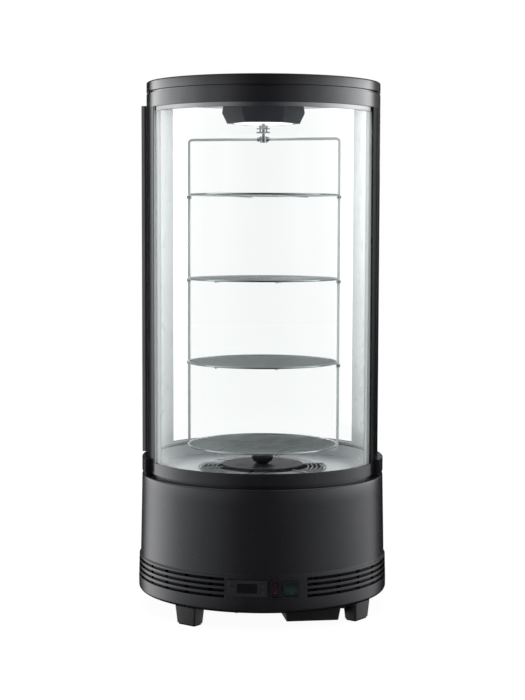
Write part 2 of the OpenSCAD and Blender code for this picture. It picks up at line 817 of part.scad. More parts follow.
module lamp_switch_rocker() { rocker(lamp_bearing, z_lamp, [lamp_w, lamp_h], [0.55, 0.06, 0.08]); }
module power_switch_body() { switch_body(power_bearing, z_power, [power_side, power_side]); }
module power_switch_rocker() { rocker(power_bearing, z_power, [power_side, power_side], [0.03, 0.4, 0.3]); }

// Three-pin mains inlet set in the back of the skirt.
module power_inlet() {
    face = skirt_r + 1.4;
    color([0.08, 0.08, 0.09])
    at_bearing(inlet_bearing) difference() {
        union() {
            translate([-inlet_w / 2 - 4, -face, z_inlet - inlet_h / 2 - 3])
                cube([inlet_w + 8, 1.2, inlet_h + 6]);
            translate([-inlet_w / 2 + seat, -face, z_inlet - inlet_h / 2 + seat])
                cube([inlet_w - 2 * seat, 24, inlet_h - 2 * seat]);
        }
        translate([-inlet_w / 2 + 3, -face - 1, z_inlet - inlet_h / 2 + 3])
            cube([inlet_w - 6, 18, inlet_h - 6]);
    }
    color([0.75, 0.7, 0.5])
    at_bearing(inlet_bearing) for (x = [-7, 0, 7])
        translate([x - 1, -face + 4, z_inlet - (x == 0 ? 0 : 3) - 2]) cube([2, 14, 4]);
}

// Fixed curved glass across the front of the tower.
module front_glass() {
    color([0.8, 0.9, 0.9, 0.3])
    band(-glass_bearing - 1, glass_bearing + 1, glass_in_r, glass_r, z_glass_low, z_glass_top);
}

// Upright trims that clamp the edges of the front glass.
module glass_trim(side) {
    a0 = side > 0 ? glass_bearing : -trim_end;
    a1 = side > 0 ? trim_end : -glass_bearing;
    s0 = side > 0 ? glass_bearing - 1 : -glass_bearing - 1.2;
    s1 = side > 0 ? glass_bearing + 1.2 : -glass_bearing + 1;
    difference() {
        union() {
            band(a0, a1, inner_r, tower_r, z_ring, z_cap);
            band(a0, a1, inner_r, glass_r, z_cap - eps, z_cap + glass_up - seat);
        }
        band(s0, s1, groove_in_r, glass_r + seat, z_ring - 1, z_cap + glass_up + 1);
    }
}
module glass_trims() {
    color([0.13, 0.13, 0.14]) {
        glass_trim(1);
        glass_trim(-1);
    }
}

// Side post between the glass trim and the door.
module side_post(side) {
    color([0.12, 0.12, 0.13])
    mirror([side > 0 ? 0 : 1, 0, 0]) {
        band(post_start, post_end, inner_r, tower_r, z_rim, z_cap);
        band(post_start, post_end, inner_r, glass_r, z_cap - eps, z_cap + glass_up - seat);
    }
}
module left_side_post() { side_post(-1); }
module right_side_post() { side_post(1); }

// Pale panels that line the posts inside the chamber.
module side_liners() {
    color([0.85, 0.87, 0.87])
    for (s = [0, 1]) mirror([s, 0, 0])
        band(glass_bearing + 1.6, post_end, inner_r - seat - liner_t, inner_r - seat,
            z_floor + seat, z_ceiling - seat);
}

// Band of the cap, grooved below for the glass and cut away over the door.
module cap_band() {
    color([0.12, 0.12, 0.13])
    difference() {
        rotate_extrude() polygon([
            [tower_r - lip_t, z_cap], [tower_r, z_cap], [tower_r, z_band], [ceiling_hold_r, z_band],
            [ceiling_hold_r, z_ceiling + ceiling_t], [inner_r + seat, z_ceiling + ceiling_t],
            [inner_r + seat, z_cap + glass_up], [tower_r - lip_t, z_cap + glass_up]
        ]);
        band(post_end, 360 - post_end, inner_r - 3, tower_r + 5, z_cap - 1, z_door_cut);
        at_hinge(z_cap) cylinder(r = hinge_pin_r + run, h = z_door_cut + top_pin_out - z_cap, $fn = 48);
    }
}

// Flat lid with a soft edge, standing on a foot that is set back from its side.
module cap_lid() {
    foot_r = tower_r - lid_groove;
    color([0.12, 0.12, 0.13])
    rotate_extrude() polygon(concat(
        [[foot_r, z_band], [foot_r, z_lid], [tower_r, z_lid]],
        arc_pts(tower_r - lid_round, z_top - lid_round, lid_round, 0, 90, 5),
        [[0, z_top], [0, z_top - lid_t], [foot_r - lid_t, z_top - lid_t], [foot_r - lid_t, z_band]]
    ));
}

// White ceiling of the chamber.
module ceiling_panel() {
    color([0.9, 0.9, 0.9])
    union() {
        tube(shaft_r + 8, ceiling_r, z_ceiling, z_ceiling + ceiling_t);
        band(-post_end, post_end, ceiling_r - 5, inner_r, z_ceiling, z_ceiling + ceiling_t);
    }
}

// Six-sided dark dish under the ceiling, for the motor and the lamp.
module motor_housing() {
    color([0.2, 0.2, 0.22])
    difference() {
        union() {
            translate([0, 0, z_ceiling - 2]) cylinder(r = dish_r + 1, h = 2);
            translate([0, 0, z_ceiling - housing_wide])
                cylinder(r1 = dish_r, r2 = dish_r - 3, h = housing_wide - 1, $fn = 6);
            translate([0, 0, z_housing])
                cylinder(r1 = dish_low_r, r2 = dish_r, h = slope_h, $fn = 6);
        }
        translate([0, 0, z_ceiling - housing_wide])
            cylinder(r1 = dish_r - 3, r2 = dish_r - 6, h = housing_wide + 1, $fn = 6);
        translate([0, 0, z_housing + lamp_recess + 2])
            cylinder(r1 = dish_low_r - 2, r2 = dish_r - 3, h = slope_h - lamp_recess - 2 + eps, $fn = 6);
        translate([0, 0, z_housing - 1]) cylinder(r = plug_r, h = lamp_recess + 4);
        translate([0, 0, z_housing - 1]) cylinder(r = diffuser_r, h = lamp_recess + 1);
    }
}

// White diffuser ring of the lamp, round the shaft, flush with the dish.
module lamp_diffuser() {
    color([0.95, 0.95, 0.93])
    difference() {
        union() {
            translate([0, 0, z_housing]) cylinder(r = diffuser_r - seat, h = lamp_recess);
            translate([0, 0, z_housing]) cylinder(r = plug_r - seat, h = lamp_recess + 3);
        }
        translate([0, 0, z_housing - 1]) cylinder(r = shaft_r + 6, h = 10, $fn = 48);
    }
}

// Geared motor that turns the rack, screwed to the ceiling.
module gear_motor() {
    color([0.65, 0.65, 0.67])
    difference() {
        union() {
            translate([0, 0, z_ceiling - motor_h]) cylinder(r = motor_r, h = motor_h);
            translate([-motor_r - 8, -8, z_ceiling - 2]) cube([2 * motor_r + 16, 16, 2]);
        }
        translate([0, 0, z_ceiling - motor_h - 1]) cylinder(r = shaft_r + run, h = 13, $fn = 48);
    }
}

// Steel pins the door turns on, one below and one above.
module hinge_pins() {
    color([0.75, 0.75, 0.77]) {
        at_hinge(z_rim - hinge_pin_out)
            cylinder(r = hinge_pin_r, h = hinge_pin_out + door_gap + hinge_pin_in, $fn = 48);
        at_hinge(z_door_top - hinge_pin_in)
            cylinder(r = hinge_pin_r, h = hinge_pin_in + door_gap + top_pin_out, $fn = 48);
    }
}

// Door stile on the hinge side, its nose rounded about the hinge axis.
module hinge_stile() {
    color([0.12, 0.12, 0.13])
    difference() {
        union() {
            band(hinge_bearing, stile_end, post_in_r, tower_r, z_door_low, z_door_top);
            at_hinge(z_door_low) cylinder(r = post_t / 2, h = z_door_top - z_door_low, $fn = 64);
        }
        glass_groove();
        at_hinge(z_door_low - 1) cylinder(r = hinge_pin_r + run, h = hinge_pin_in + 2, $fn = 48);
        at_hinge(z_door_top - hinge_pin_in - 1)
            cylinder(r = hinge_pin_r + run, h = hinge_pin_in + 2, $fn = 48);
    }
}

// The space the door glass takes in the stiles and rails.
module glass_groove() {
    band(stile_end - stile_rebate, 360 - stile_end + stile_rebate,
        door_glass_r - door_glass_t - seat, door_glass_r + seat,
        z_door_low + rail_h - door_glass_in - seat, z_ceiling + door_glass_in + seat);
}

// Door stile on the grip side.
module grip_stile() {
    color([0.12, 0.12, 0.13])
    difference() {
        band(360 - stile_end, 360 - post_end - 0.35, post_in_r, tower_r, z_door_low, z_door_top);
        glass_groove();
    }
}

// Curved rail across the door, below or above the glass.
module door_rail(z0, z1) {
    color([0.12, 0.12, 0.13])
    difference() {
        band(stile_end, 360 - stile_end, post_in_r, tower_r, z0, z1);
        glass_groove();
    }
}
module door_top_rail() { door_rail(z_ceiling, z_door_top); }
module door_bottom_rail() { door_rail(z_door_low, z_door_low + rail_h); }

// Curved glass of the door.
module door_glass() {
    color([0.85, 0.92, 0.92, 0.3])
    band(stile_end - stile_rebate + 0.1, 360 - stile_end + stile_rebate - 0.1, door_glass_r - door_glass_t,
        door_glass_r, z_door_low + rail_h - door_glass_in, z_ceiling + door_glass_in);
}

// Thin seal round the inner face of the door.
module door_gasket() {
    r0 = post_in_r - gasket_t;
    z0 = z_door_low + gasket_edge;
    z1 = z_door_top - gasket_edge;
    color([0.75, 0.75, 0.74]) {
        band(seal_start, seal_end, r0, post_in_r, z0, z0 + gasket_w);
        band(seal_start, seal_end, r0, post_in_r, z1 - gasket_w, z1);
        band(seal_start, seal_start + seal_turn, r0, post_in_r, z0, z1);
        band(seal_end - seal_turn, seal_end, r0, post_in_r, z0, z1);
    }
}

// Pale panel on the inner face of the door, between the seal and the glass.
module door_inner_frame() {
    edge = gasket_edge + gasket_w + seat;
    color([0.85, 0.87, 0.87])
    difference() {
        band(seal_start + seal_turn + 0.1, seal_end - seal_turn - 0.1, post_in_r - inner_frame_t, post_in_r,
            z_door_low + edge, z_door_top - edge);
        band(stile_end, 360 - stile_end, post_in_r - inner_frame_t - 1, post_in_r + 1,
            z_door_low + rail_h, z_ceiling);
    }
}

// Full-height grip on the free edge of the door: a web with a finger lip.
module door_grip() {
    a = 360 - post_end - 0.35;
    web = grip_t * 180 / PI / tower_r;
    lip = grip_lip * 180 / PI / tower_r;
    color([0.3, 0.3, 0.31])
    difference() {
        band(a - lip, a, tower_r, tower_r + grip_out, z_door_low, z_grip_top);
        band(a - lip - 1, a - web, tower_r - 1, tower_r + grip_out - grip_t, z_door_low - 1, z_door_top);
    }
}

// Motor shaft with the driver fork that carries the rack.
module drive_coupling() {
    color([0.7, 0.7, 0.72]) {
        translate([0, 0, z_shaft_low + 9])
            cylinder(r = shaft_r, h = z_ceiling - motor_h + 1 - z_shaft_low, $fn = 48);
        translate([0, 0, z_shaft_low + 8]) cylinder(r = 9, h = 4, $fn = 48);
        rotate([0, 0, rack_turn]) {
            for (x = [-6, 6]) translate([x, 0, z_shaft_low]) cylinder(r = 1.6, h = 10, $fn = 24);
            translate([-12, -2.5, z_shaft_low + 5]) cube([24, 5, 2]);
            translate([-12, -3.5, z_shaft_low - 2]) cube([24, 7, 2.5]);
        }
        translate([0, 0, z_bar + rod_r + 3])
            cylinder(r = rod_r + 0.4, h = z_shaft_low - z_bar - rod_r + 3, $fn = 32);
    }
}

// Clamp that joins the hanger rod to the rack's top bar, with its screw.
module rack_hub() {
    color([0.7, 0.7, 0.72])
    rotate([0, 0, rack_turn]) difference() {
        union() {
            translate([0, 0, z_bar - 6]) cylinder(r = 8, h = 11, $fn = 48);
            translate([-11, 0, z_bar]) rotate([0, 90, 0]) cylinder(r = 4, h = 22, $fn = 32);
            translate([0, 0, z_bar]) rotate([90, 0, 0]) cylinder(r = 2.5, h = 13, $fn = 32);
        }
        translate([-20, 0, z_bar]) rotate([0, 90, 0]) cylinder(r = rod_r + run, h = 40, $fn = 32);
    }
}

// Straight rod with a quarter bend at each end, along X, the bends pointing down or up.
module bent_bar(z, way) {
    x = rack_r - bend_r;
    translate([-x, 0, z]) rotate([0, 90, 0]) cylinder(r = rod_r, h = 2 * x, $fn = 32);
    for (s = [0, 1]) mirror([s, 0, 0]) translate([x, 0, z + way * bend_r]) rotate([90, 0, 0])
        rotate([0, 0, way < 0 ? 0 : -90]) rotate_extrude(angle = 90)
            translate([bend_r, 0]) circle(r = rod_r, $fn = 32);
}
module rack_top_bar() {
    color([0.78, 0.78, 0.8]) rotate([0, 0, rack_turn]) bent_bar(z_bar, -1);
}
module rack_bottom_bar() {
    color([0.78, 0.78, 0.8]) rotate([0, 0, rack_turn]) bent_bar(z_low_bar, 1);
}

// Upright rods of the rack.
module rack_side_rods() {
    color([0.78, 0.78, 0.8])
    rotate([0, 0, rack_turn]) for (x = [-rack_r, rack_r]) translate([x, 0, z_low_bar + bend_r])
        cylinder(r = rod_r, h = z_bar - z_low_bar - 2 * bend_r, $fn = 32);
}

// Small collars on the rods, under the rings of the shelves.
module shelf_collars() {
    color([0.7, 0.7, 0.72])
    rotate([0, 0, rack_turn]) for (i = [1:3]) for (x = [-rack_r, rack_r])
        translate([x, 0, z_shelves[i] - ring_wire_r - 0.05 - collar_h]) difference() {
            cylinder(r = collar_r, h = collar_h, $fn = 32);
            translate([0, 0, -1]) cylinder(r = rod_r + run, h = collar_h + 2, $fn = 32);
        }
}

// Round wire shelf: a ring, parallel wires across it and two cross wires under them.
module shelf(i) {
    color([0.8, 0.8, 0.82])
    translate([0, 0, z_shelves[i]]) rotate([0, 0, rack_turn]) {
        rotate_extrude() translate([shelf_r, 0]) circle(r = ring_wire_r, $fn = 24);
        for (k = [-wires:wires]) {
            y = k * wire_pitch;
            x = sqrt(pow(shelf_r, 2) - pow(y, 2));
            translate([-x, y, 0]) rotate([0, 90, 0]) cylinder(r = wire_r, h = 2 * x, $fn = 24);
        }
        for (x = [-cross_x, cross_x]) {
            y = sqrt(pow(shelf_r, 2) - pow(x, 2));
            translate([x, -y, -cross_drop]) rotate([-90, 0, 0]) cylinder(r = cross_r, h = 2 * y, $fn = 24);
        }
    }
}
module shelf_bottom() { shelf(0); }
module shelf_lower() { shelf(1); }
module shelf_upper() { shelf(2); }
module shelf_top() { shelf(3); }

// Rounded knob under the bottom shelf, turning on the pivot pin.
module pivot_knob() {
    tall = z_knob_top - z_knob;
    color([0.12, 0.12, 0.13])
    rotate([0, 0, rack_turn]) difference() {
        rotate_extrude() polygon(concat(
            [[0, z_knob]], [for (k = knob_shape) [knob_r * k[1], z_knob + tall * k[0]]], [[0, z_knob_top]]
        ));
        translate([0, 0, z_knob - 1]) cylinder(r = pivot_r + run, h = z_pin_top - z_knob + 1, $fn = 48);
        translate([-40, 0, z_low_bar]) rotate([0, 90, 0]) cylinder(r = rod_r + run, h = 80, $fn = 32);
    }
}

base_pan();
base_housing();
base_ring();
feet();
foot_pads();
base_screws();
drip_tray();
compressor();
condenser();
fan_shroud();
condenser_fan_motor();
condenser_fan();
insulation_tub();
evaporator();
evaporator_fan_motor();
evaporator_fan();
floor_plate();
fan_guard();
pivot_plate();
thermostat_bezel();
thermostat_window();
set_key();
up_key();
down_key();
lamp_switch_body();
lamp_switch_rocker();
power_switch_body();
power_switch_rocker();
power_inlet();
front_glass();
glass_trims();
left_side_post();
right_side_post();
side_liners();
cap_band();
cap_lid();
ceiling_panel();
motor_housing();
lamp_diffuser();
gear_motor();
hinge_pins();
hinge_stile();
grip_stile();
door_top_rail();
door_bottom_rail();
door_glass();
door_inner_frame();
door_gasket();
door_grip();
drive_coupling();
rack_hub();
rack_top_bar();
rack_side_rods();
rack_bottom_bar();
shelf_collars();
shelf_bottom();
shelf_lower();
shelf_upper();
shelf_top();
pivot_knob();
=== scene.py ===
"""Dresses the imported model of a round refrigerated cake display.

Every length below is in millimetres unless its name says otherwise, and MM turns it into metres.
Bearings run round the tower from the control panel (-Y), positive towards +X, in degrees.
"""

import json
import math

import bpy
import numpy as np
from mathutils import Matrix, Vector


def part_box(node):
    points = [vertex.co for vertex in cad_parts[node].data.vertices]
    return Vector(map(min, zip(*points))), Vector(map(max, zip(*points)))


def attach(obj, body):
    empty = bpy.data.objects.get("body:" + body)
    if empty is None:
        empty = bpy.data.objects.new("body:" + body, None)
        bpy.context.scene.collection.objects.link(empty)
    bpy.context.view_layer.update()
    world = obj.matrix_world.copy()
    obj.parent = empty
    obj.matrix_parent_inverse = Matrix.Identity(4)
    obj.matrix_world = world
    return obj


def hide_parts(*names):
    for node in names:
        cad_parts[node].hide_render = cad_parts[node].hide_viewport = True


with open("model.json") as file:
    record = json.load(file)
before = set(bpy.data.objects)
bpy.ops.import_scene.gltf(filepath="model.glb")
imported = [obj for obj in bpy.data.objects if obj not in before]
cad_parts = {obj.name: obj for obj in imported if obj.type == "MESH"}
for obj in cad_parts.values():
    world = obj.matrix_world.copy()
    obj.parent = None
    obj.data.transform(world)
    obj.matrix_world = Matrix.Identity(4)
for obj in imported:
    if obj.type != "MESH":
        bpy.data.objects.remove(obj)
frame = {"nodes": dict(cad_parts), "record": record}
NODES = frame["nodes"]
SLOT_OF = {part["node"]: part["material_slot"] for part in frame["record"]["subparts"]}
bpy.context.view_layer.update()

MM = 0.001
TAU = 2 * math.pi
X, Y, Z = range(3)
WHITE = (1, 1, 1, 1)


def span(node_name, axis):
    """A node's lowest and highest place along an axis, to a hundredth of a millimetre."""
    return [round(corner[axis] / MM, 2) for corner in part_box(node_name)]


# The case, from the frame.
SKIRT_R = span("base_housing", X)[1]
TOWER_R = span("cap_lid", X)[1]
FLOOR_R = span("floor_plate", X)[1]
GLASS_OUT_R = -span("front_glass", Y)[0]
KNOB_R = span("pivot_knob", X)[1]
Z_FLOOR = span("floor_plate", Z)[1]
Z_RING = span("base_ring", Z)[1]
Z_CAP = span("cap_band", Z)[0]
Z_BAND, Z_TOP = span("cap_lid", Z)
Z_KNOB, Z_KNOB_TOP = span("pivot_knob", Z)
Z_THERMO_LOW, Z_THERMO_TOP = span("thermostat_bezel", Z)

# The lid and the knob, which replace their nodes. The knob's shape is its radius by its height, as shares.
LID_GAP = 4.0
LID_GROOVE = 4.0
LID_ROUND = 3.0
LID_WALL = 3.0
LID_CHAMFER = 0.4
AXIS_R = 0.01
PIN_R = 4.0
PIN_PLAY = 0.2
KNOB_SHAPE = ((0.0, 0.5), (0.09, 0.8), (0.24, 0.97), (0.39, 1.0), (0.54, 0.92), (0.69, 0.88), (0.88, 0.72),
              (1.0, 0.45))
KNOB_POINTS = 61
KNOB_SMOOTHINGS = 6
KNOB_STEPS = 96

# The thermostat's ridges and lamps: their x along its face from the middle, and half width and height.
THERMO_BEARING = -6.5
THERMO_R = SKIRT_R + 0.8
THERMO_H = Z_THERMO_TOP - Z_THERMO_LOW
RIDGE_X = (-32.4, -29.6)
RIDGE_INSET = 2.5
RIDGE_SIZE = (0.55, 0.45)
LAMP_X = (-2.5, 5.5, 18.0, 25.0)
LAMP_HALF_L = 1.6
LAMP_SIZE = (0.8, 0.3)
LAMP_DROP = 2.6

# The rocker switches and the marks on them.
LAMP_SWITCH = {"bearing": 5.7, "z": 75.5, "frame": (16.0, 33.0)}
POWER_SWITCH = {"bearing": 12.7, "z": 74.5, "frame": (28.5, 28.5)}
SWITCH_R = SKIRT_R + 0.15
SWITCH_RIM = 2.6
KEY_GAP = 0.4
ROCKER_DEEP = 5.0
ROCKER_NOTCH = 0.8
ROCKER_RISE = 2.6
ROCKER_TAPER = 1.6
ROCKER_TILT = -7.0
MARK_SIZE = (0.35, 0.12)
MARK_HALF_L = 1.7
MARK_RING_R = 1.5
MARK_RING_POINTS = 24
BEAD_TIP = 0.05

# Where a solid shows another colour: painted shade on the floors of the vents and at the root of the door's
# grip, and the own colours of the ring's inner wall, the trims' inner faces, the lid's top and the upper rim
# of the front glass.
VENT_SHADE_R = SKIRT_R - 2.0
VENT_ROWS_Z = (58.0, 98.0)
RING_LINING_R = FLOOR_R + 0.9
RING_LINING_Z = (Z_FLOOR - 0.5, Z_RING - 0.5)
TRIM_FACE_R = GLASS_OUT_R - 0.1
TRIM_FACE_AXIS_X = -2.0
LID_FACE_R = TOWER_R - 2.2
LID_FACE_Z = (Z_TOP - 0.3, Z_TOP + 1.0)
GRIP_SHADE_R = TOWER_R + 8.5
Z_GLASS_RIM = Z_CAP - 7.5

# The photograph's camera. Its angles are in radians.
CAMERA_Y = -2924.5
CAMERA_Z = 704.9
CAMERA_PITCH = 0.0805
CAMERA_ROLL = 0.0028
CAMERA_YAW = 0.000175
FOCAL_PX = 1599.5
IMAGE_H_PX = 700
SENSOR_MM = 36.0


def put_object(name, data):
    """An object at the origin, in the scene."""
    thing = bpy.data.objects.new(name, data)
    bpy.context.scene.collection.objects.link(thing)
    return thing


def put_mesh(name, verts_mm, faces, smooth=True):
    """A mesh object at the origin from vertices in millimetres and faces that point outwards."""
    mesh = bpy.data.meshes.new(name)
    verts = np.asarray(verts_mm, float).reshape(-1, 3) * MM
    mesh.from_pydata(verts.tolist(), [], [list(face) for face in faces])
    mesh.polygons.foreach_set("use_smooth", np.full(len(mesh.polygons), smooth))
    mesh.update()
    return put_object(name, mesh)


def grid_faces(rows, cols, wrap_rows=False, wrap_cols=False, flip=False):
    """Quads of a rows by cols grid of vertices, numbered row by row.

    Wrapping joins the last line of vertices to the first.
    """
    i = np.arange(rows if wrap_rows else rows - 1)[:, None]
    j = np.arange(cols if wrap_cols else cols - 1)[None, :]
    i2, j2 = (i + 1) % rows, (j + 1) % cols
    quads = np.stack([i * cols + j, i * cols + j2, i2 * cols + j2, i2 * cols + j], -1).reshape(-1, 4)
    return quads[:, ::-1] if flip else quads


def lathe(name, profile, steps=192):
    """A closed profile of (radius, height) points, anticlockwise, turned once round the Z axis.

    x = r sin a, y = -r cos a, z = z, with a going round the full turn.
    """
    r, z = np.asarray(profile, float).T
    a = np.linspace(0, TAU, steps, endpoint=False)[:, None]
    verts = np.stack([r * np.sin(a), -r * np.cos(a), z + 0 * a], -1)
    return put_mesh(name, verts, grid_faces(steps, len(r), wrap_rows=True, wrap_cols=True))


def arc(cx, cz, r, a0, a1, n):
    """Points on a circle of radius r about (cx, cz), from angle a0 to a1 in degrees."""
    a = np.radians(np.linspace(a0, a1, n))
    return np.stack([cx + r * np.cos(a), cz + r * np.sin(a)], -1)


def on_front(bearing, r, x, out, z):
    """Places local points on the case's face at a bearing and radius.

    x runs along the face, out towards the viewer and z up.
    """
    a = math.radians(bearing)
    x, out, z = np.broadcast_arrays(np.asarray(x, float), out, z)
    depth = r + out
    return np.stack([x * math.cos(a) + depth * math.sin(a), x * math.sin(a) - depth * math.cos(a), z], -1)


def bead(path, size, closed=False, steps=12):
    """A raised line on a face: an oval section of size (half width, height) along a path of (x, z) points.

    point(t, a) = path(t) + side(t) half_w cos a, out = height sin a, so its lower half is sunk in the face.
    Gives (x, out, z) points and faces. An open line's ends are drawn in to BEAD_TIP of its size.
    """
    half_w, height = size
    path = np.asarray(path, float)
    along = np.roll(path, -1, 0) - np.roll(path, 1, 0) if closed else np.gradient(path, axis=0)
    along /= np.linalg.norm(along, axis=1)[:, None]
    side = np.stack([along[:, 1], -along[:, 0]], -1)
    a = np.linspace(0, TAU, steps, endpoint=False)
    share = np.ones(len(path))
    if not closed:
        share[[0, -1]] = BEAD_TIP
    xz = path[:, None, :] + side[:, None, :] * (share[:, None] * half_w * np.cos(a))[..., None]
    points = np.stack([xz[..., 0], share[:, None] * height * np.sin(a) + 0 * xz[..., 0], xz[..., 1]], -1)
    return points.reshape(-1, 3), grid_faces(len(path), steps, wrap_rows=closed, wrap_cols=True, flip=True)


def short_line(x0, z0, x1, z1, n=7):
    """Points along a straight line, closer together at its rounded ends."""
    t = (1 - np.cos(np.linspace(0, math.pi, n))) / 2
    return np.stack([x0 + (x1 - x0) * t, z0 + (z1 - z0) * t], -1)


def join(parts):
    """Several (points, faces) pairs as one."""
    points, faces, start = [], [], 0
    for p, f in parts:
        points.append(p)
        faces.append(f + start)
        start += len(p)
    return np.vstack(points), np.vstack(faces)


# How a noise texture's values are cut, and how soft a change of look is.
NOISE_LOW, NOISE_HIGH = 0.3, 0.7
EDGE_SOFT = 0.4
HEIGHT_SOFT = 0.2
RIM_SOFT = 0.3

# The scales of the noises, in features a metre.
CLOUD_SCALE = 14.0
PATCH_SCALE = 45.0
WAVER_SCALE = 9.0
GRAIN_DETAIL = 2.0

BEVEL_SAMPLES = 4
COAT_ROUGH = 0.08


def cleared(block):
    """The empty node tree of a material or world."""
    block.use_nodes = True
    block.node_tree.nodes.clear()
    return block.node_tree


def feed(tree, socket, value):
    """Gives an input a number or another node's output."""
    if isinstance(value, bpy.types.NodeSocket):
        tree.links.new(value, socket)
    else:
        socket.default_value = value


def maths(tree, operation, *values):
    """The result of a Math node on numbers and outputs."""
    node = tree.nodes.new("ShaderNodeMath")
    node.operation = operation
    for socket, value in zip(node.inputs, values):
        feed(tree, socket, value)
    return node.outputs[0]


def blended(tree, share, first, second):
    """Two shaders mixed: the second by its share, the first by the rest."""
    mix = tree.nodes.new("ShaderNodeMixShader")
    for socket, value in zip(mix.inputs, (share, first, second)):
        feed(tree, socket, value)
    return mix.outputs[0]


def axes(tree, kind="Object"):
    """The x, y and z of one kind of texture coordinates."""
    coords = tree.nodes.new("ShaderNodeTexCoord")
    split = tree.nodes.new("ShaderNodeSeparateXYZ")
    tree.links.new(coords.outputs[kind], split.inputs[0])
    return split.outputs


def coordinates(tree, stretch=(1, 1, 1)):
    """Object coordinates, scaled per axis."""
    coords = tree.nodes.new("ShaderNodeTexCoord")
    mapping = tree.nodes.new("ShaderNodeMapping")
    mapping.inputs["Scale"].default_value = stretch
    tree.links.new(coords.outputs["Object"], mapping.inputs["Vector"])
    return mapping.outputs[0]


def noise(tree, vector, scale, detail=3.0, rough=0.55):
    """A noise texture's value."""
    node = tree.nodes.new("ShaderNodeTexNoise")
    node.inputs["Scale"].default_value = scale
    node.inputs["Detail"].default_value = detail
    node.inputs["Roughness"].default_value = rough
    tree.links.new(vector, node.inputs["Vector"])
    return node.outputs["Fac"]


def spread(tree, value, low, high, start=NOISE_LOW, end=NOISE_HIGH):
    """Maps start..end onto low..high, and holds low before and high after."""
    node = tree.nodes.new("ShaderNodeMapRange")
    for socket, number in zip(("From Min", "From Max", "To Min", "To Max"), (start, end, low, high)):
        node.inputs[socket].default_value = number
    tree.links.new(value, node.inputs["Value"])
    return node.outputs[0]


def step(tree, value, at, soft, rising=True):
    """0 below a length and 1 above it, or the reverse, with a ramp from soft before it to soft after it."""
    low, high = (0, 1) if rising else (1, 0)
    return spread(tree, value, low, high, (at - soft) * MM, (at + soft) * MM)


def tone(tree, value, dark, light):
    """A colour between two, by a noise value."""
    ramp = tree.nodes.new("ShaderNodeValToRGB")
    for point, position, color in zip(ramp.color_ramp.elements, (NOISE_LOW, NOISE_HIGH), (dark, light)):
        point.position = position
        point.color = (*color, 1)
    tree.links.new(value, ramp.inputs["Fac"])
    return ramp.outputs["Color"]


def patch(color, shine, radius, heights=None, axis_x=0.0):
    """A second look for the part of a surface that within() finds."""
    return {"color": (*color, 1), "shine": shine, "place": (radius, heights, axis_x)}


def within(tree, radius, heights, axis_x):
    """1 nearer than a radius to the upright axis at x = axis_x, and between two heights if given, else 0."""
    x, y, z = axes(tree)
    flat = tree.nodes.new("ShaderNodeCombineXYZ")
    feed(tree, flat.inputs[0], maths(tree, "SUBTRACT", x, axis_x * MM))
    feed(tree, flat.inputs[1], y)
    length = tree.nodes.new("ShaderNodeVectorMath")
    length.operation = "LENGTH"
    feed(tree, length.inputs[0], flat.outputs[0])
    share = step(tree, length.outputs["Value"], radius, EDGE_SOFT, rising=False)
    if heights:
        share = maths(tree, "MULTIPLY", share, step(tree, z, heights[0], HEIGHT_SOFT))
        share = maths(tree, "MULTIPLY", share, step(tree, z, heights[1], HEIGHT_SOFT, rising=False))
    return share


def bump(tree, body, height, strength, depth, edge):
    """Feeds a height, and edges softened over a small radius, into the shader's normal."""
    node = tree.nodes.new("ShaderNodeBump")
    if edge:
        soft = tree.nodes.new("ShaderNodeBevel")
        soft.samples = BEVEL_SAMPLES
        soft.inputs["Radius"].default_value = edge * MM
        feed(tree, node.inputs["Normal"], soft.outputs[0])
    node.inputs["Strength"].default_value = strength
    node.inputs["Distance"].default_value = depth * MM
    feed(tree, node.inputs["Height"], height)
    feed(tree, body.inputs["Normal"], node.outputs[0])


def finish(name, color, rough, metal=0.0, shine=0.5, vary=0.12, grain=900.0, depth=0.02, strength=0.3,
           rough_vary=0.05, stretch=(1, 1, 1), coat=0.0, tint=(1, 1, 1), edge=0.0, inner=None, glow=0.0):
    """A surface with a soft tone variation, uneven roughness and a fine grain in its normal.

    grain is the scale of that grain, depth and strength are its height, and edge is how far the shading of
    corners is rounded. inner is a patch() with a colour and shine of its own.
    """
    mat = bpy.data.materials.new(name)
    tree = cleared(mat)
    out = tree.nodes.new("ShaderNodeOutputMaterial")
    body = tree.nodes.new("ShaderNodeBsdfPrincipled")
    feed(tree, out.inputs[0], body.outputs[0])
    where = coordinates(tree, stretch)
    dark = [c * (1 - vary) for c in color]
    light = [min(1.0, c * (1 + vary)) for c in color]
    hue = tone(tree, noise(tree, where, CLOUD_SCALE), dark, light)
    if inner:
        share = within(tree, *inner["place"])
        mix = tree.nodes.new("ShaderNodeMixRGB")
        for socket, value in zip(mix.inputs, (share, hue, inner["color"])):
            feed(tree, socket, value)
        hue = mix.outputs[0]
        shine = spread(tree, share, shine, inner["shine"], 0, 1)
    patches = noise(tree, where, PATCH_SCALE)
    bump(tree, body, noise(tree, where, grain, GRAIN_DETAIL), strength, depth, edge)
    settings = {
        "Base Color": hue,
        "Roughness": spread(tree, patches, rough - rough_vary, rough + rough_vary),
        "Metallic": metal,
        "Specular IOR Level": shine,
        "Specular Tint": (*tint, 1),
        "Emission Color": WHITE,
        "Emission Strength": glow,
        "Coat Weight": coat,
        "Coat Roughness": COAT_ROUGH,
    }
    for socket, value in settings.items():
        feed(tree, body.inputs[socket], value)
    return mat


# The glass's tint, its roughness from least to most, and how it mirrors.
GLASS_TINT = (0.99, 0.996, 0.995, 1)
GLASS_ROUGH = (0.02, 0.045)
MIRROR_LEAST = 0.015
MIRROR_GAIN = 0.8
RIM_INK = (0.014, 0.015, 0.018, 1)
RIM_MIRROR = 0.13


